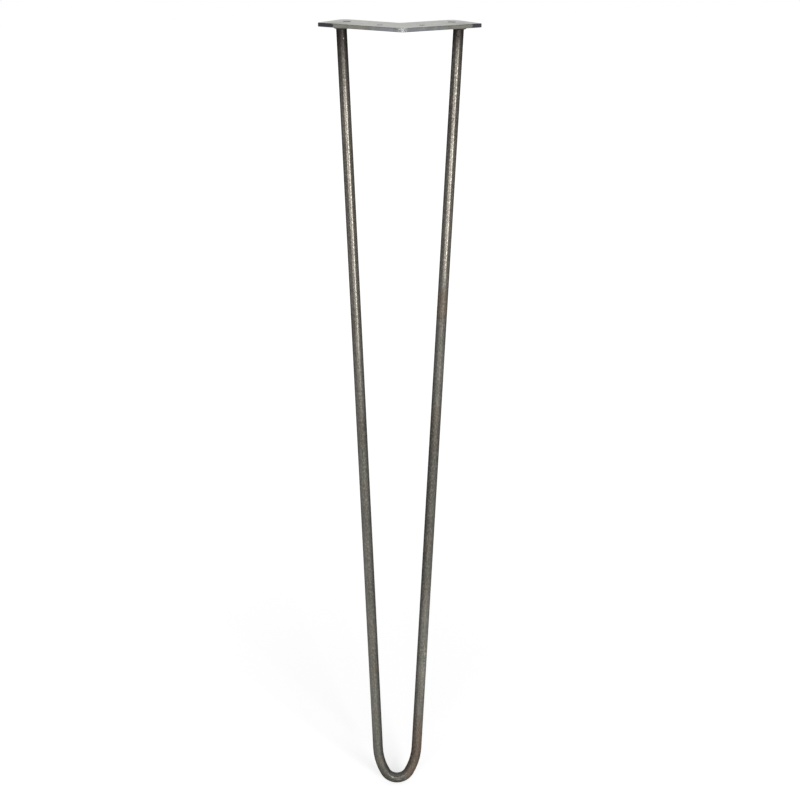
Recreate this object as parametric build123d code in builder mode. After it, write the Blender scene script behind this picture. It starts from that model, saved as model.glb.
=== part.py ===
"""Two-rod hairpin table leg: one bent steel rod welded under a flat screw plate with two arms.

Millimetres. The origin is on the plate's top face where the centre lines of its two arms cross, +Z is up out of
that face, and the plate's outer corner and the foot lie towards -Y.
"""
import os
from math import acos, atan2, cos, degrees, hypot, radians, sin

from build123d import *

# The leg as a whole
leg_height = 711.0  # from the plate's top face down to the floor
splay = 7.0  # lean of the rods towards the plate's outer corner, in degrees from upright

# The rod and its bend, radii on the centre line
rod_diameter = 9.5
tip_radius = 13.0  # at the foot
tip_turn = 60.0  # degrees that the tip radius turns on each side of the foot
flank_radius = 55.0  # where the bend runs out into the straight rods

# The plate: two like arms that meet at an obtuse corner
corner_angle = 113.0  # between the arms, in degrees
arm_length = 87.0  # outer edge of an arm, from the corner
arm_width = 41.0
plate_thickness = 3.5
outer_corner_radius = 3.0
inner_corner_radius = 4.0
arm_end_outer_radius = 1.0  # on the outer edge, at the end of an arm
arm_end_inner_radius = 8.0  # on the inner edge, at the end of an arm
edge_break = 0.4  # small chamfer round both faces

# Screw holes, placed along an arm and in from its outer edge
corner_hole_diameter = 5.5
corner_hole_along = 31.5  # from the plate's corner
corner_hole_inset = 14.5
end_hole_diameter = 7.5
end_hole_margin = 15.5  # from the arm's end
end_hole_inset = 23.5

# Where a rod meets the plate, and its weld
rod_end_margin = 19.5  # from the arm's end
rod_inset = 8.5  # from the arm's outer edge
weld_reach = 2.8  # how far the bead spreads over the plate, past the rod
weld_drop = 1.3  # how far the bead runs down the rod
weld_toe = 0.3  # thickness of the bead's lower rim

# Worked out from the sizes above
rod_radius = rod_diameter / 2
arm_bearing = 90 - corner_angle / 2  # of the right arm, in degrees from +X
inner_setback = arm_width / cos(radians(arm_bearing))  # from the plate's outer corner to its inner corner
underside = Plane.XY.offset(-plate_thickness)
plate_plane = Plane(origin=(0, -inner_setback / 2, -plate_thickness))  # its origin is the plate's outer corner

os.makedirs("parts", exist_ok=True)


def both_arms(along, inset):
    """The same place on the right and on the left arm, in the plate plane."""
    x = along * cos(radians(arm_bearing)) - inset * sin(radians(arm_bearing))
    y = along * sin(radians(arm_bearing)) + inset * cos(radians(arm_bearing))
    return (x, y), (-x, y)


# Plate: the right arm and its mirror image, then their corners and holes
with BuildPart() as mounting_plate:
    with BuildSketch(plate_plane):
        Rectangle(arm_length, arm_width, rotation=arm_bearing, align=Align.MIN)
        mirror(about=Plane.YZ)
        fillet(vertices().sort_by_distance((0, 0))[0], outer_corner_radius)
        fillet(vertices().sort_by_distance((0, inner_setback))[0], inner_corner_radius)
        for corner in both_arms(arm_length, 0):
            fillet(vertices().sort_by_distance(corner)[0], arm_end_outer_radius)
        for corner in both_arms(arm_length, arm_width):
            fillet(vertices().sort_by_distance(corner)[0], arm_end_inner_radius)
        with Locations(*both_arms(corner_hole_along, corner_hole_inset)):
            Circle(corner_hole_diameter / 2, mode=Mode.SUBTRACT)
        with Locations(*both_arms(arm_length - end_hole_margin, end_hole_inset)):
            Circle(end_hole_diameter / 2, mode=Mode.SUBTRACT)
    extrude(amount=plate_thickness)
    flat_faces = mounting_plate.faces().filter_by(Axis.Z)
    rims = flat_faces.sort_by(Axis.Z)[0].outer_wire().edges() + flat_faces.sort_by(Axis.Z)[-1].outer_wire().edges()
    chamfer(rims, edge_break)

# Rod: both straight runs and the compound bend lie in one plane that leans over the foot
rod_seat = plate_plane.from_local_coords(Vector(*both_arms(arm_length - rod_end_margin, rod_inset)[0]))
seat_height = (leg_height - rod_radius - plate_thickness) / cos(radians(splay))
foot = Vector(0, rod_seat.Y - seat_height * sin(radians(splay)), rod_radius - leg_height)
lean_plane = Plane(origin=foot, x_dir=(1, 0, 0), z_dir=(0, -cos(radians(splay)), sin(radians(splay))))

# Each straight run is the line from the rod's seat that touches the flank circle
flank_centre_x = (tip_radius - flank_radius) * sin(radians(tip_turn))
flank_centre_y = tip_radius + (flank_radius - tip_radius) * cos(radians(tip_turn))
seat_dx = rod_seat.X - flank_centre_x
seat_dy = seat_height - flank_centre_y
seat_bearing = degrees(atan2(seat_dy, seat_dx))
run_turn = 90 + seat_bearing - degrees(acos(flank_radius / hypot(seat_dx, seat_dy)))
run_slope_x = cos(radians(run_turn))
run_slope_y = sin(radians(run_turn))

with BuildPart() as hairpin_rod:
    with BuildLine(lean_plane) as centre_line:
        tip_arc = JernArc(start=(0, 0), tangent=(1, 0), radius=tip_radius, arc_size=tip_turn)
        flank_arc = JernArc(start=tip_arc @ 1, tangent=tip_arc % 1, radius=flank_radius, arc_size=run_turn - tip_turn)
        past_plate = rod_diameter  # spare length that the plate's underside cuts off
        Line(flank_arc @ 1, (rod_seat.X + run_slope_x * past_plate, seat_height + run_slope_y * past_plate))
        mirror(about=Plane.YZ)
    with BuildSketch(Plane(origin=foot, x_dir=lean_plane.y_dir, z_dir=lean_plane.x_dir)):
        Circle(rod_radius)
    sweep(path=centre_line.wires()[0])
    split(bisect_by=underside, keep=Keep.BOTTOM)

# Welds: a bead round each rod end that fits the plate and the rod
run_axis = lean_plane.x_dir * run_slope_x + lean_plane.y_dir * run_slope_y
bead_rim = rod_seat - run_axis * weld_drop
with BuildPart() as weld_bead_right:
    with BuildSketch(Plane(origin=rod_seat, z_dir=(0, 0, 1))):
        Circle(rod_radius + weld_reach)
    with BuildSketch(Plane(origin=bead_rim, z_dir=run_axis)):
        Circle(rod_radius + weld_toe)
    loft(ruled=True)
    add(hairpin_rod.part, mode=Mode.SUBTRACT)

with BuildPart() as weld_bead_left:
    mirror(weld_bead_right.part, about=Plane.YZ)

for name, piece in (
    ("mounting_plate", mounting_plate),
    ("hairpin_rod", hairpin_rod),
    ("weld_bead_left", weld_bead_left),
    ("weld_bead_right", weld_bead_right),
):
    piece.part.label = name
    export_step(piece.part, f"parts/{name}.step")
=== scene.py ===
import math
import random

import bmesh
import bpy
from mathutils import Matrix, Quaternion, Vector


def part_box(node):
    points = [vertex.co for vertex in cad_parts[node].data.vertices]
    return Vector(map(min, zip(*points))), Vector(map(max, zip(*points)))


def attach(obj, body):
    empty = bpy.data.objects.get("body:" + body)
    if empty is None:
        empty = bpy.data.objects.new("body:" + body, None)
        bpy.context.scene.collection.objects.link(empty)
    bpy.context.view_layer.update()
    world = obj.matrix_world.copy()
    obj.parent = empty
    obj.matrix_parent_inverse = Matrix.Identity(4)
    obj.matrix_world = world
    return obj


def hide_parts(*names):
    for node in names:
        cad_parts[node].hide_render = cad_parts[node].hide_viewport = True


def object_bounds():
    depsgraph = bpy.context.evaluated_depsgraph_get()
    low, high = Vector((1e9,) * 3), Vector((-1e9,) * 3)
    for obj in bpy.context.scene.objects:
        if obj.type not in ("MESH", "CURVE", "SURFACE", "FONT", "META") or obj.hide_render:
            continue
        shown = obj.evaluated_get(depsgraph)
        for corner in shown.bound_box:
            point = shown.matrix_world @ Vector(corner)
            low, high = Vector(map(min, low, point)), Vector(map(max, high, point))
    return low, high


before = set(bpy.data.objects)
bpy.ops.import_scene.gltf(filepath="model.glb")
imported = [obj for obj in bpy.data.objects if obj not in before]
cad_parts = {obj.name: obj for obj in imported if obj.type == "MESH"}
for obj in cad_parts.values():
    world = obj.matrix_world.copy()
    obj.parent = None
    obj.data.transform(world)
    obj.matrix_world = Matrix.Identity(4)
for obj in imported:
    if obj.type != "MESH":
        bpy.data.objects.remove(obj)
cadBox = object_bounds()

scene = bpy.context.scene
scene.view_settings.view_transform = "Standard"
random.seed(7)

# the leg's main places, from the frame, with seat where the right run meets the plate
beadLow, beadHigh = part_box("weld_bead_right")
plateLow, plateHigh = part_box("mounting_plate")
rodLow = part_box("hairpin_rod")[0]
rodRadius = 0.00475
runSlope = 0.0492  # how far a run moves sideways for each step up
tipHeight = 0.013  # of the tip arc's middle above the foot's centre line
seat = Vector(((beadLow[0] + beadHigh[0]) / 2, (beadLow[1] + beadHigh[1]) / 2, beadHigh[2]))
foot = Vector((0, rodLow[1] + rodRadius, rodLow[2] + rodRadius))
lean = (seat.y - foot.y) / (seat.z - foot.z)
print("frame loaded:", ", ".join(sorted(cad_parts)))


# camera, taken from the picture's perspective
cameraSettings = {
    "lens": 72.18,  # mm
    "sensor": 36.0,  # mm
    "eye": (-0.06351, -1.41953, 0.13872),
    "aim": (0.00295, 0.01557, -0.34796),
    "roll": math.radians(0.567),  # the picture hangs a little to one side
}


def makeCamera(s):
    cameraData = bpy.data.cameras.new("camera")
    cameraData.lens = s["lens"]
    cameraData.sensor_width = s["sensor"]
    camera = bpy.data.objects.new("camera", cameraData)
    scene.collection.objects.link(camera)
    eye = Vector(s["eye"])
    look = (Vector(s["aim"]) - eye).to_track_quat("-Z", "Y")
    camera.rotation_mode = "QUATERNION"
    camera.rotation_quaternion = look @ Quaternion((0, 0, 1), s["roll"])
    camera.location = eye
    scene.camera = camera


makeCamera(cameraSettings)
print("camera set")


# node helpers
def newMaterial(name):
    material = bpy.data.materials.new(name)
    material.use_nodes = True
    material.node_tree.nodes.clear()
    return material, material.node_tree


def addNode(tree, kind, inputs=None, **settings):
    node = tree.nodes.new(kind)
    for key, value in settings.items():
        setattr(node, key, value)
    for key, value in (inputs or {}).items():
        if isinstance(value, bpy.types.NodeSocket):
            tree.links.new(value, node.inputs[key])
        else:
            node.inputs[key].default_value = value
    return node


def objectCoords(tree):
    return addNode(tree, "ShaderNodeTexCoord").outputs["Object"]


def faceNormal(tree):
    return addNode(tree, "ShaderNodeNewGeometry").outputs["Normal"]


def splitAxes(tree, vector):
    return addNode(tree, "ShaderNodeSeparateXYZ", {0: vector}).outputs


def joinAxes(tree, x, y, z):
    return addNode(tree, "ShaderNodeCombineXYZ", {0: x, 1: y, 2: z}).outputs[0]


def vectorCalc(tree, operation, a, b=(0, 0, 0), result="Vector"):
    return addNode(tree, "ShaderNodeVectorMath", {0: a, 1: b}, operation=operation).outputs[result]


def calc(tree, operation, a, b=0.0):
    return addNode(tree, "ShaderNodeMath", {0: a, 1: b}, operation=operation).outputs[0]


def chain(tree, operation, values):
    result = values[0]
    for value in values[1:]:
        result = calc(tree, operation, result, value)
    return result


def product(tree, *factors):
    return chain(tree, "MULTIPLY", factors)


def total(tree, *parts):
    return chain(tree, "ADD", parts)


def minus(tree, *values):
    return chain(tree, "SUBTRACT", values)


def highest(tree, *values):
    return chain(tree, "MAXIMUM", values)


def mapRange(tree, value, fromMin, fromMax, toMin=0.0, toMax=1.0, kind="SMOOTHSTEP"):
    node = addNode(tree, "ShaderNodeMapRange", {
        "Value": value, "From Min": fromMin, "From Max": fromMax, "To Min": toMin, "To Max": toMax,
    }, interpolation_type=kind)
    return node.outputs["Result"]


# a mask's 0 and 1 become low and high
def spread(tree, mask, low, high):
    return mapRange(tree, mask, 0, 1, low, high, "LINEAR")


# 1 between low and high, with soft ends
def band(tree, value, low, high, soft):
    rise = mapRange(tree, value, low - soft, low + soft)
    fall = mapRange(tree, value, high - soft, high + soft, 1.0, 0.0)
    return product(tree, rise, fall)


def noise(tree, vector, scale, detail=3.0, rough=0.55):
    return addNode(tree, "ShaderNodeTexNoise", {
        "Vector": vector, "Scale": scale, "Detail": detail, "Roughness": rough,
    }).outputs["Fac"]


# noise that swings both ways about zero
def sway(tree, vector, scale, detail=3.0, rough=0.55):
    return minus(tree, noise(tree, vector, scale, detail, rough), 0.5)


# a soft oval mark, turned about the depth axis, solid in its core
def ovalMark(tree, coords, strength, middle, halfSize, turn, core=0.3):
    local = addNode(tree, "ShaderNodeMapping", {
        "Vector": coords, "Location": middle, "Rotation": (0, turn, 0), "Scale": halfSize,
    }, vector_type="TEXTURE").outputs[0]
    away = vectorCalc(tree, "LENGTH", local, result="Value")
    return product(tree, mapRange(tree, away, core, 1.0, 1.0, 0.0), strength)


def grey(level):
    return (level, level, level, 1)


# sockets 6 and 7 are a Mix node's two colours, and its output 2 is the mixed one
def mixColour(tree, mask, a, b, blend="MIX"):
    inputs = {0: mask}
    for key, value in ((6, a), (7, b)):
        inputs[key] = value if isinstance(value, bpy.types.NodeSocket) else (*value, 1)
    return addNode(tree, "ShaderNodeMix", inputs, data_type="RGBA", blend_type=blend).outputs[2]


def paint(tree, colour, over, mask, strength):
    return mixColour(tree, product(tree, mask, strength), colour, over)


def shaded(tree, colour, factor):
    level = addNode(tree, "ShaderNodeCombineColor", {0: factor, 1: factor, 2: factor}).outputs[0]
    return mixColour(tree, 1.0, colour, level, "MULTIPLY")


def finishSteel(tree, s, colour, rough, height):
    strength, depth = s["bump"]
    bump = addNode(tree, "ShaderNodeBump", {"Strength": strength, "Distance": depth, "Height": height})
    shader = addNode(tree, "ShaderNodeBsdfPrincipled", {
        "Base Color": colour, "Metallic": s["metallic"], "Roughness": rough,
        "Specular Tint": grey(s["edgeTint"]), "Normal": bump.outputs[0],
    })
    addNode(tree, "ShaderNodeOutputMaterial", {"Surface": shader.outputs[0]})


# each group reads a Vector and the inputs named here
def newGroup(name, inputs, outputs):
    tree = bpy.data.node_groups.new(name, "ShaderNodeTree")
    tree.interface.new_socket("Vector", in_out="INPUT", socket_type="NodeSocketVector")
    for label, value in inputs.items():
        kind = "NodeSocketVector" if isinstance(value, tuple) else "NodeSocketFloat"
        tree.interface.new_socket(label, in_out="INPUT", socket_type=kind).default_value = value
    for label, kind in outputs.items():
        tree.interface.new_socket(label, in_out="OUTPUT", socket_type="NodeSocket" + kind)
    return tree, addNode(tree, "NodeGroupInput").outputs


def closeGroup(tree, results):
    addNode(tree, "NodeGroupOutput", results)
    return tree


def useGroup(tree, group, vector, values):
    return addNode(tree, "ShaderNodeGroup", {"Vector": vector, **values}, node_tree=group).outputs


# the thin skin left by hot rolling: fine grain, soft patches and small pits
millSkinSettings = {
    "fineNoise": (5.0, 0.7),  # detail, roughness
    "speckleLevels": (0.34, 0.66),  # of the fine noise, dark and light
    "wideNoise": (5.0, 0.6),
    "mottleLevels": (0.3, 0.7),
    "pitScale": 0.45,  # next to the grain's
    "pitWall": (0.05, 0.3),  # from a pit's middle, deep and flat
    "clusterScale": 0.12,  # next to the grain's, because pits come in clusters
    "clusterLevels": (0.5, 0.62),
    "speckleHeight": 0.4,  # next to a pit's depth
}


def makeMillSkin(s):
    tree, given = newGroup(
        "mill skin", {"Grain": 900.0, "Patch": 60.0, "Pits": 0.3},
        {"Speckle": "Float", "Mottle": "Float", "Pit": "Float", "Height": "Float"},
    )
    vector, grain = given["Vector"], given["Grain"]
    speckle = mapRange(tree, noise(tree, vector, grain, *s["fineNoise"]), *s["speckleLevels"])
    mottle = mapRange(tree, noise(tree, vector, given["Patch"], *s["wideNoise"]), *s["mottleLevels"])
    cells = addNode(tree, "ShaderNodeTexVoronoi", {
        "Vector": vector, "Scale": product(tree, grain, s["pitScale"]), "Randomness": 1.0,
    })
    hollow = mapRange(tree, cells.outputs["Distance"], *s["pitWall"], 1.0, 0.0)
    clusters = noise(tree, vector, product(tree, grain, s["clusterScale"]))
    chosen = mapRange(tree, clusters, *s["clusterLevels"])
    pit = product(tree, hollow, chosen, given["Pits"])
    height = minus(tree, product(tree, speckle, s["speckleHeight"]), pit)
    return closeGroup(tree, {"Speckle": speckle, "Mottle": mottle, "Pit": pit, "Height": height})


# thin rub marks, long one way and fine the other
rubMarkSettings = {
    "lineNoise": (2.0, 0.5),  # detail, roughness
    "lineWidth": 0.02,
    "gapScale": 0.2,  # next to the marks'
    "gapDetail": 2.0,
    "gapLevel": 0.8,  # noise that a mark needs to show, when none are asked for
    "shareGain": 0.6,  # how much the share lowers it
    "gapEdge": (-0.04, 0.06),
}


def makeRubMarks(s):
    tree, given = newGroup(
        "rub marks", {"Scale": 300.0, "Stretch": (1.0, 0.03, 1.0), "Share": 0.3}, {"Mark": "Float"},
    )
    drawn = vectorCalc(tree, "MULTIPLY", given["Vector"], given["Stretch"])
    offLine = calc(tree, "ABSOLUTE", sway(tree, drawn, given["Scale"], *s["lineNoise"]))
    thin = mapRange(tree, offLine, 0.0, s["lineWidth"], 1.0, 0.0)
    gaps = noise(tree, given["Vector"], product(tree, given["Scale"], s["gapScale"]), s["gapDetail"])
    level = minus(tree, s["gapLevel"], product(tree, given["Share"], s["shareGain"]))
    kept = mapRange(tree, minus(tree, gaps, level), *s["gapEdge"])
    return closeGroup(tree, {"Mark": product(tree, thin, kept)})


# how near a place is to the rod seats, where the welding heat was, and the colours it leaves
weldHeatSettings = {
    "raggedNoise": (240.0, 4.0),  # scale, detail
    "hottest": 0.05,  # share of the reach that is hot all through
    "tints": (  # share of the reach, colour
        (0.0, (0.30, 0.31, 0.30)),  # scaled grey at the weld
        (0.35, (0.17, 0.20, 0.27)),  # blue
        (0.55, (0.25, 0.19, 0.22)),  # purple brown
        (0.78, (0.40, 0.32, 0.18)),  # straw
        (1.0, (0.5, 0.5, 0.46)),
    ),
}


def makeWeldHeat(s):
    tree, given = newGroup(
        "weld heat", {"Reach": 0.02, "Ragged": 0.3}, {"Heat": "Float", "Tint": "Color"},
    )
    x, y, z = splitAxes(tree, given["Vector"])
    folded = joinAxes(tree, calc(tree, "ABSOLUTE", x), y, z)  # both seats at once
    away = vectorCalc(tree, "DISTANCE", folded, seat, "Value")
    wave = product(tree, sway(tree, given["Vector"], *s["raggedNoise"]), given["Ragged"])
    share = total(tree, calc(tree, "DIVIDE", away, given["Reach"]), wave)
    heat = mapRange(tree, share, s["hottest"], 1.0, 1.0, 0.0, "LINEAR")
    ramp = addNode(tree, "ShaderNodeValToRGB", {"Fac": share})
    bands = ramp.color_ramp.elements
    while len(bands) < len(s["tints"]):
        bands.new(1.0)
    for element, (spot, colour) in zip(bands, s["tints"]):
        element.position = spot
        element.color = (*colour, 1)
    return closeGroup(tree, {"Heat": heat, "Tint": ramp.outputs["Color"]})


# brown bloom, a first breath of rust in cloudy patches
brownBloomSettings = {
    "cloudNoise": (6.0, 0.68),  # detail, roughness
    "cloudLevel": 0.72,  # noise that a cloud needs to show, when none are asked for
    "shareGain": 0.5,  # how much the share lowers it
    "cloudEdge": (-0.06, 0.14),
}


def makeBrownBloom(s):
    tree, given = newGroup("brown bloom", {"Scale": 40.0, "Share": 0.4}, {"Bloom": "Float"})
    cloud = noise(tree, given["Vector"], given["Scale"], *s["cloudNoise"])
    level = minus(tree, s["cloudLevel"], product(tree, given["Share"], s["shareGain"]))
    bloom = mapRange(tree, minus(tree, cloud, level), *s["cloudEdge"])
    return closeGroup(tree, {"Bloom": bloom})


millSkin = makeMillSkin(millSkinSettings)
rubMarks = makeRubMarks(rubMarkSettings)
weldHeat = makeWeldHeat(weldHeatSettings)
brownBloom = makeBrownBloom(brownBloomSettings)
print("shared finishes built")


# floor and studio light
stageSettings = {
    "floorSize": 14.0,
    "floorGrey": 0.8,
    "floorGlow": 0.86,  # only what the camera and reflections see
    "glowDip": 0.13,  # less of it near the leg, where the lamps already whiten the floor
    "skyFill": 0.26,
    "lampAim": (0.0, 0.0, -0.15),
    "lamps": (  # name, place, width and height, watts
        ("key", (0.84, -2.1, 0.04), (0.84, 0.82), 31.0),
        ("second", (-0.53, -2.1, 0.16), (1.15, 0.80), 16.5),
    ),
}


def seenRays(tree):
    path = addNode(tree, "ShaderNodeLightPath").outputs
    return highest(tree, path["Is Camera Ray"], path["Is Glossy Ray"], path["Is Transmission Ray"])


def makeFloor(s):
    bm = bmesh.new()
    bmesh.ops.create_grid(bm, x_segments=1, y_segments=1, size=s["floorSize"] / 2)
    bmesh.ops.translate(bm, verts=bm.verts, vec=(0, 0, cadBox[0][2]))
    mesh = bpy.data.meshes.new("floor")
    bm.to_mesh(mesh)
    bm.free()
    floor = bpy.data.objects.new("floor", mesh)
    scene.collection.objects.link(floor)

    material, tree = newMaterial("pale floor")
    coat = addNode(tree, "ShaderNodeBsdfDiffuse", {"Color": grey(s["floorGrey"])})
    coords = objectCoords(tree)
    awaySquared = vectorCalc(tree, "DOT_PRODUCT", coords, coords, "Value")
    strength = minus(tree, s["floorGlow"], calc(tree, "DIVIDE", s["glowDip"], awaySquared))
    glow = addNode(tree, "ShaderNodeEmission", {"Strength": product(tree, seenRays(tree), strength)})
    both = addNode(tree, "ShaderNodeAddShader", {0: coat.outputs[0], 1: glow.outputs[0]})
    addNode(tree, "ShaderNodeOutputMaterial", {"Surface": both.outputs[0]})
    mesh.materials.append(material)


def makeSky(s):
    world = bpy.data.worlds.new("sky")
    world.use_nodes = True
    tree = world.node_tree
    tree.nodes.clear()
    strength = spread(tree, seenRays(tree), s["skyFill"], 1.0)
    light = addNode(tree, "ShaderNodeBackground", {"Color": grey(1.0), "Strength": strength})
    addNode(tree, "ShaderNodeOutputWorld", {"Surface": light.outputs[0]})
    scene.world = world


def makeLamp(s, name, place, size, watts):
    data = bpy.data.lights.new(name, "AREA")
    data.shape = "RECTANGLE"
    data.size, data.size_y = size
    data.energy = watts
    lamp = bpy.data.objects.new(name, data)
    scene.collection.objects.link(lamp)
    lamp.location = place
    lamp.rotation_euler = (Vector(s["lampAim"]) - lamp.location).to_track_quat("-Z", "Y").to_euler()


makeFloor(stageSettings)
makeSky(stageSettings)
for lampLine in stageSettings["lamps"]:
    makeLamp(stageSettings, *lampLine)
print("floor and light set")


# rod: dark mill skin with bare specks above, duller and browner towards the foot, black beside the welds
# from heat scale and painted shadow under the plate, with painted light and shade on its sides and
# stretches
# pairs are left run and right run, or the two ends of a change, with heights from the plate's top face
rodSettings = {
    "skin": (0.094, 0.087, 0.076),
    "dull": (0.117, 0.114, 0.100),
    "brown": (0.113, 0.086, 0.065),
    "rust": (0.150, 0.090, 0.078),
    "bare": (0.27, 0.25, 0.205),
    "bright": (0.62, 0.60, 0.54),
    "scale": (0.006, 0.005, 0.005),
    "scorchAndShadowColour": (0.0155, 0.0125, 0.0118),
    "edgeTint": 0.12,  # how much the steel mirrors at a glancing angle
    "metallic": 0.85,
    "runBlend": 0.004,  # half the width over which left gives way to right
    "bendTop": (0.015, 0.055),  # above the foot, where the bend gives way to the runs
    # grain and streaks
    "skinPattern": {"Grain": 900.0, "Patch": 55.0, "Pits": 0.35},
    "grainStretch": 0.5,  # along the rod, where 1 is none
    "streakStretch": 0.02,
    "streakScale": 900.0,
    "streakLevels": (0.35, 0.65),
    "mottleShade": (0.87, 1.11),
    "streakShade": (0.86, 1.12),
    "speckleShade": (0.89, 1.11),
    "pitStrength": 0.8,
    # painted light and shade on the sides, where facing runs from -1 towards the gap between the runs to 1
    # away from it
    "bendFacing": (-1.0, 0.6),
    "bendShade": (0.70, 1.08),
    "innerFacing": (-1.0, -0.2),
    "paintedInnerShadeLeft": (0.92, 0.74),  # painted shade of the left run's inner side, above and near the bend
    "paintedInnerShadeRight": 0.78,
    "nearBend": (-0.52, -0.64),
    "outerFacing": (-0.1, 0.95),
    "paintedOuterLift": (1.6, 1.42),  # painted light: the dull part is paler on its outer side
    "liftFrom": (-0.27, -0.43),
    # end of the dark skin
    "skinEnd": ((-0.375, -0.235), (-0.237, -0.208)),
    "raggedNoise": (320.0, 4.0),  # scale, detail
    "raggedSwing": 0.012,
    # brown parts: lower end, upper end, softness
    "brownBand": (-0.2589, -0.2320, 0.003),  # right run, under the skin's end
    "bandStrength": 0.75,
    "bandLine": (-0.2594, -0.2584, 0.0004),  # darker line at the band's lower end
    "lineShade": 0.75,
    "brownPatch": (-0.380, -0.342, 0.012),  # a fainter one further down
    "patchStrength": (0.2, 0.7),
    "brownFlank": (-0.725, -0.645, 0.012),  # right flank of the bend
    "flankFrom": (0.005, 0.011),
    "bloomScale": 34.0,
    "bloomFrom": (-0.2, -0.32),
    "bloomShare": (0.12, 0.34),
    "bloomStrength": 0.4,
    "brownStrength": 0.85,
    "rustSpot": (0.6, (0.0228, -0.0630, -0.680), (0.0016, 0.006, 0.008), math.radians(-4)),
    # darker and lighter stretches, partly the steel's own tone and partly painted light and shade where
    # the lamps fall unevenly on the two runs: lower end, upper end, softness, left run, right run
    "toneAndShadeStretches": (
        (-0.110, -0.030, 0.03, 0.97, 0.80),
        (-0.180, -0.110, 0.02, 0.95, 0.99),
        (-0.460, -0.255, 0.04, 1.00, 0.88),
        (-0.530, -0.350, 0.04, 0.74, 0.70),
        (-0.385, -0.290, 0.02, 0.78, 1.00),
        (-0.600, -0.495, 0.02, 0.88, 1.00),
        (-0.690, -0.540, 0.02, 0.92, 1.00),
    ),
    # painted shade under the bend
    "underHeight": (-0.703, -0.690),
    "underAcross": (0.012, 0.004),
    "underFacing": (-0.85, -0.55),
    "underShade": 0.60,
    # bare specks and marks, a mark's values being strength, place, half size, turn
    "bareLevels": (0.45, 1.0),
    "bareShare": (0.24, 0.32),  # dull part, skin
    "flecks": (-0.617, -0.570, 0.008),  # on the outer side of the right run
    "fleckFacing": (0.1, 0.5),
    "fleckStrength": 1.5,
    "rubs": (  # lighter streaks under the bend, rubbed bare steel and partly a painted highlight
        (0.32, (-0.0043, -0.0706, -0.7032), (0.0030, 0.004, 0.0009), math.radians(32)),
        (0.44, (0.0016, -0.0712, -0.7056), (0.0040, 0.004, 0.0011), 0.0),
    ),
    "chip": (0.36, (-0.0497, 0.0145, -0.0126), (0.0005, 0.003, 0.0008), 0.0),
    "scaleLine": (0.9, (0.0504, 0.0145, -0.0102), (0.0028, 0.004, 0.0006), math.radians(26)),
    # heat scale below the welds, darkened further as painted shadow under the plate
    "scorchAndShadowReach": (0.073, 0.034),
    "scorchRagged": 0.35,
    "scorchAndShadowStrength": 0.96,
    # gloss and relief
    "rough": (0.46, 0.60, 0.25),  # bend, dull part, skin
    "speckleRough": (0.06, -0.04),
    "scorchRough": 0.2,
    "brownRough": 0.06,
    "streakHeight": 0.5,
    "bump": (0.5, 0.00002),  # strength, depth
}


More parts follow.
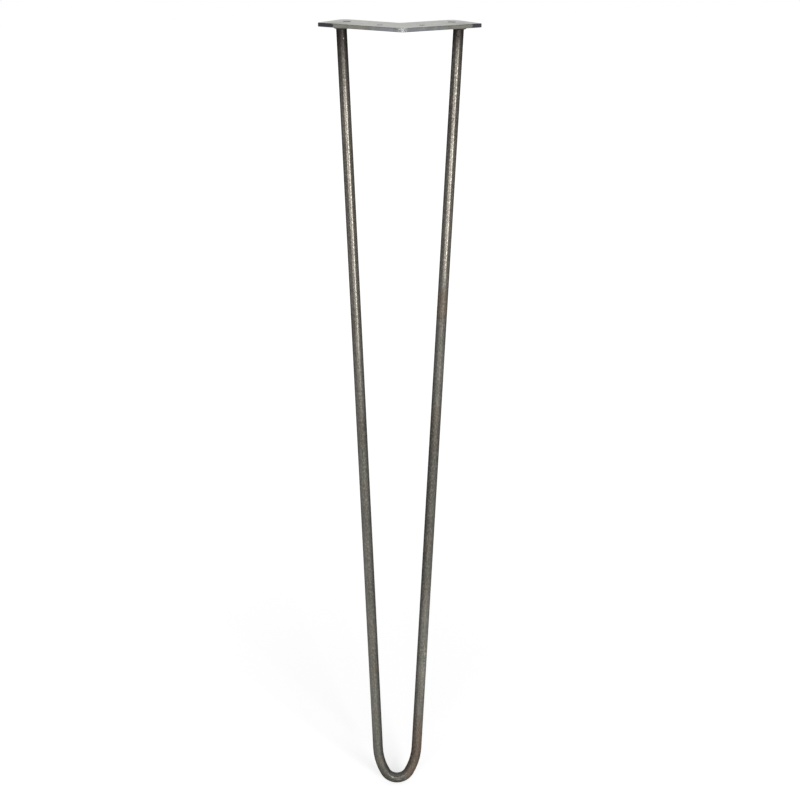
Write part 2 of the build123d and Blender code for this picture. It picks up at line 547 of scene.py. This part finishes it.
def rodSteel(s):
    material, tree = newMaterial("rod steel")
    coords = objectCoords(tree)
    x, y, z = splitAxes(tree, coords)
    rightRun = mapRange(tree, x, -s["runBlend"], s["runBlend"])
    bendLow, bendHigh = s["bendTop"]
    straight = mapRange(tree, z, foot.z + bendLow, foot.z + bendHigh)

    # along and across the bent rod, so that patterns follow it: round the tip's middle, straight above it
    level = minus(tree, z, foot.z + tipHeight)
    above = calc(tree, "MAXIMUM", level, 0.0)
    below = calc(tree, "MINIMUM", level, 0.0)
    turned = calc(tree, "ARCTAN2", x, product(tree, below, -1.0))
    along = total(tree, product(tree, turned, tipHeight), product(tree, calc(tree, "SIGN", x), above))
    fromGap = joinAxes(tree, x, 0.0, below)
    away = vectorCalc(tree, "LENGTH", fromGap, result="Value")
    across = minus(tree, away, product(tree, above, runSlope))
    depth = minus(tree, y, product(tree, z, lean))
    grainSpace = joinAxes(tree, across, depth, product(tree, along, s["grainStretch"]))
    streakSpace = joinAxes(tree, across, depth, product(tree, along, s["streakStretch"]))

    # how far a face looks away from the gap between the runs
    outwardWay = vectorCalc(tree, "NORMALIZE", fromGap)
    facing = vectorCalc(tree, "DOT_PRODUCT", faceNormal(tree), outwardWay, "Value")

    skin = useGroup(tree, millSkin, grainSpace, s["skinPattern"])
    scorchAndShadow = useGroup(tree, weldHeat, coords, {
        "Reach": spread(tree, rightRun, *s["scorchAndShadowReach"]), "Ragged": s["scorchRagged"],
    })["Heat"]
    bloom = useGroup(tree, brownBloom, coords, {
        "Scale": s["bloomScale"], "Share": mapRange(tree, z, *s["bloomFrom"], *s["bloomShare"]),
    })["Bloom"]
    streaks = mapRange(tree, noise(tree, streakSpace, s["streakScale"]), *s["streakLevels"])

    # where the dark skin ends, with a ragged line
    ragged = total(tree, z, product(tree, sway(tree, coords, *s["raggedNoise"]), s["raggedSwing"]))
    skinLeft, skinRight = [mapRange(tree, ragged, *ends) for ends in s["skinEnd"]]
    upper = spread(tree, rightRun, skinLeft, skinRight)

    # brown parts: clouds all over, a band and a patch on the right run, the bend's right flank
    clouds = product(tree, bloom, s["bloomStrength"])
    bandBrown = product(tree, band(tree, z, *s["brownBand"]), rightRun, s["bandStrength"])
    patchStrength = spread(tree, skin["Mottle"], *s["patchStrength"])
    patchBrown = product(tree, band(tree, z, *s["brownPatch"]), rightRun, patchStrength)
    flankBrown = product(tree, band(tree, z, *s["brownFlank"]), mapRange(tree, x, *s["flankFrom"]))
    brown = highest(tree, clouds, bandBrown, patchBrown, flankBrown)
    bandLine = product(tree, band(tree, z, *s["bandLine"]), rightRun)

    # shade of the stretches, partly painted, and painted shade under the bend, then painted light and
    # shade of the sides and the grain's own tone
    toneAndShadeStretches = []
    for *stretch, left, right in s["toneAndShadeStretches"]:
        toneAndShadeStretches.append(spread(tree, band(tree, z, *stretch), 1.0, spread(tree, rightRun, left, right)))
    # painted shade at the foot of the bend, on its lower face
    under = product(
        tree, mapRange(tree, z, *s["underHeight"], 1.0, 0.0), mapRange(tree, x, *s["underAcross"]),
        mapRange(tree, facing, *s["underFacing"]),
    )
    toneAndShade = product(tree, *toneAndShadeStretches, spread(tree, under, 1.0, s["underShade"]))
    # painted shade and light by which way a face turns: the inner sides of the bend and the runs darker,
    # the dull part's outer side paler
    paintedBendShade = mapRange(tree, facing, *s["bendFacing"], *s["bendShade"])
    paintedInnerShadeLeft = mapRange(tree, z, *s["nearBend"], *s["paintedInnerShadeLeft"])
    inner = spread(tree, rightRun, paintedInnerShadeLeft, s["paintedInnerShadeRight"])
    outer = mapRange(tree, z, *s["liftFrom"], 1.0, spread(tree, rightRun, *s["paintedOuterLift"]))
    paintedRunShade = product(
        tree, mapRange(tree, facing, *s["innerFacing"], inner, 1.0),
        mapRange(tree, facing, *s["outerFacing"], 1.0, outer),
    )
    shade = product(
        tree, spread(tree, straight, paintedBendShade, paintedRunShade),
        spread(tree, skin["Mottle"], *s["mottleShade"]), spread(tree, streaks, *s["streakShade"]),
        spread(tree, skin["Speckle"], *s["speckleShade"]), spread(tree, bandLine, 1.0, s["lineShade"]),
    )

    # bare specks, with more of them on the flecked stretch
    flecks = product(
        tree, band(tree, z, *s["flecks"]), rightRun, mapRange(tree, facing, *s["fleckFacing"]),
        s["fleckStrength"],
    )
    bareShare = total(tree, spread(tree, upper, *s["bareShare"]), flecks)
    specks = product(tree, mapRange(tree, skin["Speckle"], *s["bareLevels"]), bareShare)
    # bare specks, and streaks under the bend that are rubbed steel and partly a painted highlight
    bare = highest(tree, specks, *[ovalMark(tree, coords, *rubAndHighlight) for rubAndHighlight in s["rubs"]])

    # colour, from the steel up
    # the stretches' tone, partly painted light and shade
    colour = shaded(tree, mixColour(tree, upper, s["dull"], s["skin"]), toneAndShade)
    colour = paint(tree, colour, s["brown"], brown, s["brownStrength"])
    colour = mixColour(tree, ovalMark(tree, coords, *s["rustSpot"]), colour, s["rust"])
    # painted light and shade of the sides, with the grain's own tone
    colour = shaded(tree, colour, shade)
    colour = mixColour(tree, bare, colour, s["bare"])
    colour = paint(tree, colour, s["scale"], skin["Pit"], s["pitStrength"])
    # heat scale and painted shadow under the plate, darkest at the welds
    colour = paint(tree, colour, s["scorchAndShadowColour"], scorchAndShadow, s["scorchAndShadowStrength"])
    colour = mixColour(tree, ovalMark(tree, coords, *s["scaleLine"]), colour, s["scale"])
    colour = mixColour(tree, ovalMark(tree, coords, *s["chip"]), colour, s["bright"])

    bendRough, dullRough, skinRough = s["rough"]
    rough = total(
        tree, spread(tree, upper, spread(tree, straight, bendRough, dullRough), skinRough),
        spread(tree, skin["Speckle"], *s["speckleRough"]),
        product(tree, scorchAndShadow, s["scorchRough"]), product(tree, brown, s["brownRough"]),
    )
    height = total(tree, skin["Height"], product(tree, streaks, straight, s["streakHeight"]))
    finishSteel(tree, s, colour, rough, height)
    return material


# plate: pale rolled sheet, duller cut edges, brushed beside the welds, scaled arm ends, worn at the
# corner, with painted shade on the underside and along the upper chamfer
# pairs are left arm and right arm, or the two ends of a change
plateSettings = {
    "face": (0.71, 0.715, 0.68),
    "dull": (0.60, 0.605, 0.58),
    "cut": (0.22, 0.225, 0.235),
    "brushed": (0.20, 0.199, 0.167),
    "scaled": (0.040, 0.040, 0.047),
    "bright": (0.68, 0.68, 0.65),
    "brown": (0.30, 0.24, 0.17),
    "edgeTint": 0.5,
    "metallic": 0.8,
    "armBearing": math.radians(33.5),
    "armBlend": 0.002,  # half the width over which left gives way to right
    "flatFacing": (0.95, 0.8),  # up or down: a flat face from the first, a cut edge below the second
    # faces
    "skinPattern": {"Grain": 700.0, "Patch": 70.0, "Pits": 0.6},
    "pitStrength": 0.7,
    "rubPattern": {"Scale": 420.0, "Stretch": (0.03, 1, 1), "Share": 0.55},
    "rubStrength": 0.4,
    "heatPattern": {"Reach": 0.017, "Ragged": 0.5},
    "heatStrength": 0.35,
    "bloomPattern": {"Scale": 60.0, "Share": 0.18},
    "bloomStrength": 0.25,
    "underShade": 0.55,  # painted shade: the underside is darker
    # cut edges, with distances outward from the rod's middle
    "edgeScale": 400.0,
    "edgeSwing": 0.004,
    "brushedFrom": (-0.024, -0.0145),
    "brushedSoft": 0.006,
    "brushedStrength": 0.85,
    "scaledFrom": (0.0076, 0.0118),
    "scaledSoft": 0.0008,
    "scaledShade": (1.0, 1.25),
    "mottleShade": (0.76, 1.10),
    "armShade": (0.97, 0.90),
    # painted shade: a broken dark line along the upper chamfer, standing in for the edge's dark reflection
    "chamferShadeScale": 480.0,
    "chamferShadeLevels": (0.42, 0.56),
    "chamferShadeFacing": (0.5, 0.85, 0.1),  # on the upper chamfer: lower end, upper end, softness
    "chamferShadeLevel": 0.45,
    # knocked corner
    "wear": (0.00225, 0.0075),  # from the corner
    "dentNoise": (1300.0, 2.0),  # scale, detail
    "dentLevels": (0.46, 0.58),
    "wornStrength": 0.8,
    # gloss and relief
    "rough": (0.5, 0.36),  # dark grain, light grain
    "edgeRough": 0.08,
    "wearRough": 0.12,
    "rubDepth": 0.5,
    "dentDepth": 1.5,
    "bump": (0.5, 0.0001),  # strength, depth
}


def plateSteel(s):
    material, tree = newMaterial("plate steel")
    coords = objectCoords(tree)
    x = splitAxes(tree, coords)[0]
    rightArm = mapRange(tree, x, -s["armBlend"], s["armBlend"])
    upward = splitAxes(tree, faceNormal(tree))[2]
    flatFacing, edgeFacing = s["flatFacing"]
    edge = mapRange(tree, calc(tree, "ABSOLUTE", upward), flatFacing, edgeFacing)
    underside = mapRange(tree, upward, -edgeFacing, -flatFacing)

    skin = useGroup(tree, millSkin, coords, s["skinPattern"])
    turned = addNode(tree, "ShaderNodeMapping", {"Vector": coords, "Rotation": (0, 0, s["armBearing"])})
    rubs = useGroup(tree, rubMarks, turned.outputs[0], s["rubPattern"])["Mark"]
    heat = useGroup(tree, weldHeat, coords, s["heatPattern"])
    bloom = useGroup(tree, brownBloom, coords, s["bloomPattern"])["Bloom"]

    # faces
    colour = mixColour(tree, skin["Mottle"], s["dull"], s["face"])
    # painted shade on the underside
    colour = shaded(tree, colour, spread(tree, underside, 1.0, s["underShade"]))
    colour = paint(tree, colour, s["bright"], rubs, s["rubStrength"])
    colour = paint(tree, colour, heat["Tint"], heat["Heat"], s["heatStrength"])
    colour = paint(tree, colour, s["brown"], bloom, s["bloomStrength"])

    # cut edge, brushed beside the welds and scaled past them
    fromRod = minus(tree, calc(tree, "ABSOLUTE", x), seat.x)
    fromRod = total(tree, fromRod, product(tree, sway(tree, coords, s["edgeScale"]), s["edgeSwing"]))
    pastBrushed = minus(tree, fromRod, spread(tree, rightArm, *s["brushedFrom"]))
    brushed = mapRange(tree, pastBrushed, -s["brushedSoft"], s["brushedSoft"])
    pastScaled = minus(tree, fromRod, spread(tree, rightArm, *s["scaledFrom"]))
    scaled = mapRange(tree, pastScaled, -s["scaledSoft"], s["scaledSoft"])
    side = paint(tree, s["cut"], s["brushed"], brushed, s["brushedStrength"])
    side = shaded(tree, side, product(
        tree, spread(tree, skin["Mottle"], *s["mottleShade"]), spread(tree, rightArm, *s["armShade"]),
    ))
    scaledColour = shaded(tree, s["scaled"], spread(tree, rightArm, *s["scaledShade"]))
    side = mixColour(tree, scaled, side, scaledColour)
    # painted shade along the upper chamfer, standing in for a dark reflection
    chamferShade = mapRange(tree, noise(tree, coords, s["chamferShadeScale"]), *s["chamferShadeLevels"])
    chamferShade = product(tree, chamferShade, band(tree, upward, *s["chamferShadeFacing"]))
    side = shaded(tree, side, spread(tree, chamferShade, 1.0, s["chamferShadeLevel"]))
    colour = mixColour(tree, edge, colour, side)
    colour = paint(tree, colour, s["scaled"], skin["Pit"], s["pitStrength"])

    # knocked corner: small bare dents round the upper edge
    corner = Vector((0, plateLow[1], plateHigh[2]))
    fromCorner = vectorCalc(tree, "DISTANCE", coords, corner, "Value")
    near = mapRange(tree, fromCorner, *s["wear"], 1.0, 0.0)
    dents = mapRange(tree, noise(tree, coords, *s["dentNoise"]), *s["dentLevels"])
    worn = product(tree, near, dents)
    colour = paint(tree, colour, s["bright"], worn, s["wornStrength"])

    rough = total(
        tree, spread(tree, skin["Speckle"], *s["rough"]), product(tree, edge, s["edgeRough"]),
        product(tree, near, s["wearRough"]),
    )
    rubDepth = product(tree, rubs, s["rubDepth"])
    height = minus(tree, skin["Height"], rubDepth, product(tree, worn, s["dentDepth"]))
    finishSteel(tree, s, colour, rough, height)
    return material


# weld metal: dark scale over grey metal, darkened further as painted shadow under the plate, with heat
# colours, black in the valleys and rubbed on the ripples
weldSettings = {
    "darkScaleAndShadow": (0.060, 0.060, 0.056),
    "valley": (0.016, 0.016, 0.017),
    "rubbed": (0.26, 0.26, 0.24),
    "edgeTint": 0.3,
    "metallic": 0.85,
    "skinPattern": {"Grain": 1400.0, "Patch": 220.0, "Pits": 0.7},
    "mottleShade": (0.75, 1.2),
    "heatPattern": {"Reach": 0.0115, "Ragged": 0.8},
    "heatStrength": 0.12,
    "valleyPoint": (0.5, 0.44),  # pointiness of flat metal and of a deep valley
    "valleyStrength": 0.8,
    "rubPattern": {"Scale": 900.0, "Stretch": (1, 1, 0.08), "Share": 0.5},
    "rubStrength": 0.35,
    "rough": (0.55, 0.4),  # dark grain, light grain
    "bump": (0.5, 0.0001),  # strength, depth
}


def weldMetal(s):
    material, tree = newMaterial("weld metal")
    coords = objectCoords(tree)
    skin = useGroup(tree, millSkin, coords, s["skinPattern"])
    heat = useGroup(tree, weldHeat, coords, s["heatPattern"])
    rubs = useGroup(tree, rubMarks, coords, s["rubPattern"])["Mark"]
    pointiness = addNode(tree, "ShaderNodeNewGeometry").outputs["Pointiness"]
    valley = mapRange(tree, pointiness, *s["valleyPoint"])
    # dark scale, partly painted shadow under the plate
    colour = shaded(tree, s["darkScaleAndShadow"], spread(tree, skin["Mottle"], *s["mottleShade"]))
    colour = paint(tree, colour, heat["Tint"], heat["Heat"], s["heatStrength"])
    colour = paint(tree, colour, s["valley"], valley, s["valleyStrength"])
    colour = paint(tree, colour, s["rubbed"], rubs, s["rubStrength"])
    rough = spread(tree, skin["Speckle"], *s["rough"])
    finishSteel(tree, s, colour, rough, skin["Height"])
    return material


def dress(nodeName, material):
    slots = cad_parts[nodeName].data.materials
    slots.clear()
    slots.append(material)


dress("hairpin_rod", rodSteel(rodSettings))
dress("mounting_plate", plateSteel(plateSettings))
weldFinish = weldMetal(weldSettings)
print("materials set")


# weld beads: a rippled fillet round each rod end
beadSettings = {
    "reach": (beadHigh[0] - beadLow[0]) / 2 - rodRadius,  # over the plate, past the rod
    "drop": 0.0013,  # down the rod
    "rippleRoom": 0.0003,  # kept free inside the reach
    "lowerToe": 0.0002,  # how far the lower edge stands off the rod
    "crown": 0.0003,  # how far the bead's face stands out
    "sunk": 0.0004,  # how far the bead bites into the rod
    "rows": 9,
    "ripples": 25,
    "stepsPerRipple": 6,
    "rippleHeight": 0.0003,
    "rippleSizes": (0.55, 1.0),  # shares of that height, least and most
    "rippleLag": 0.8,  # how far the face's middle trails its edges, in ripples
    "rippleRound": 1.5,  # power of the ripple's crest
    "rippleFade": 0.5,  # power of its fade towards the edges
    "mergeGap": 1e-6,
}


def makeBead(s, nodeName, mirrored):
    rippleSize = [random.uniform(*s["rippleSizes"]) for _ in range(s["ripples"])]
    turnOn = random.random()

    # section through the bead, spun round the rod
    bm = bmesh.new()
    outerToe = Vector((rodRadius + s["reach"] - s["rippleRoom"], 0, 0))
    lowerToe = Vector((rodRadius + s["lowerToe"], 0, -s["drop"]))
    across = lowerToe - outerToe
    proud = Vector((-across.z, 0, across.x)).normalized()
    if proud.x < 0:
        proud.negate()
    outline = [bm.verts.new((rodRadius - s["sunk"], 0, 0))]
    for row in range(s["rows"]):
        t = row / (s["rows"] - 1)
        outline.append(bm.verts.new(outerToe + across * t + proud * s["crown"] * math.sin(math.pi * t)))
    outline.append(bm.verts.new((rodRadius - s["sunk"], 0, -s["drop"])))
    edges = [bm.edges.new((a, b)) for a, b in zip(outline, outline[1:] + outline[:1])]
    bmesh.ops.spin(
        bm, geom=outline + edges, cent=(0, 0, 0), axis=(0, 0, 1), angle=math.tau,
        steps=s["ripples"] * s["stepsPerRipple"], use_merge=True, use_normal_flip=False,
    )
    bmesh.ops.remove_doubles(bm, verts=bm.verts, dist=s["mergeGap"])

    # ripples on the face that shows
    for vert in bm.verts:
        radius = math.hypot(vert.co.x, vert.co.y)
        if radius < rodRadius:
            continue
        t = min(max((outerToe.x - radius) / (outerToe.x - lowerToe.x), 0), 1)
        middle = math.sin(math.pi * t)
        turn = math.atan2(vert.co.y, vert.co.x) / math.tau + turnOn
        swing = (turn % 1) * s["ripples"] + s["rippleLag"] * middle
        size = rippleSize[int(swing) % s["ripples"]]
        wave = 1 - abs(2 * (swing % 1) - 1) ** s["rippleRound"]
        lift = s["rippleHeight"] * size * (wave - 0.5) * middle ** s["rippleFade"]
        radial = Vector((vert.co.x, vert.co.y, 0)).normalized()
        vert.co += (radial * proud.x + Vector((0, 0, proud.z))) * lift

    # slanted with the rod and set on its seat
    shear = Matrix.Identity(4)
    shear[0][2] = runSlope
    shear[1][2] = lean
    bmesh.ops.transform(bm, matrix=Matrix.Translation(seat) @ shear, verts=bm.verts)
    if mirrored:
        bmesh.ops.scale(bm, vec=(-1, 1, 1), verts=bm.verts)
    bmesh.ops.recalc_face_normals(bm, faces=bm.faces)
    for face in bm.faces:
        face.smooth = True
    mesh = bpy.data.meshes.new(nodeName + "_rippled")
    bm.to_mesh(mesh)
    bm.free()
    bead = bpy.data.objects.new(nodeName + "_rippled", mesh)
    scene.collection.objects.link(bead)
    mesh.materials.append(weldFinish)
    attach(bead, "root")
    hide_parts(nodeName)


makeBead(beadSettings, "weld_bead_right", False)
makeBead(beadSettings, "weld_bead_left", True)
print("weld beads made")
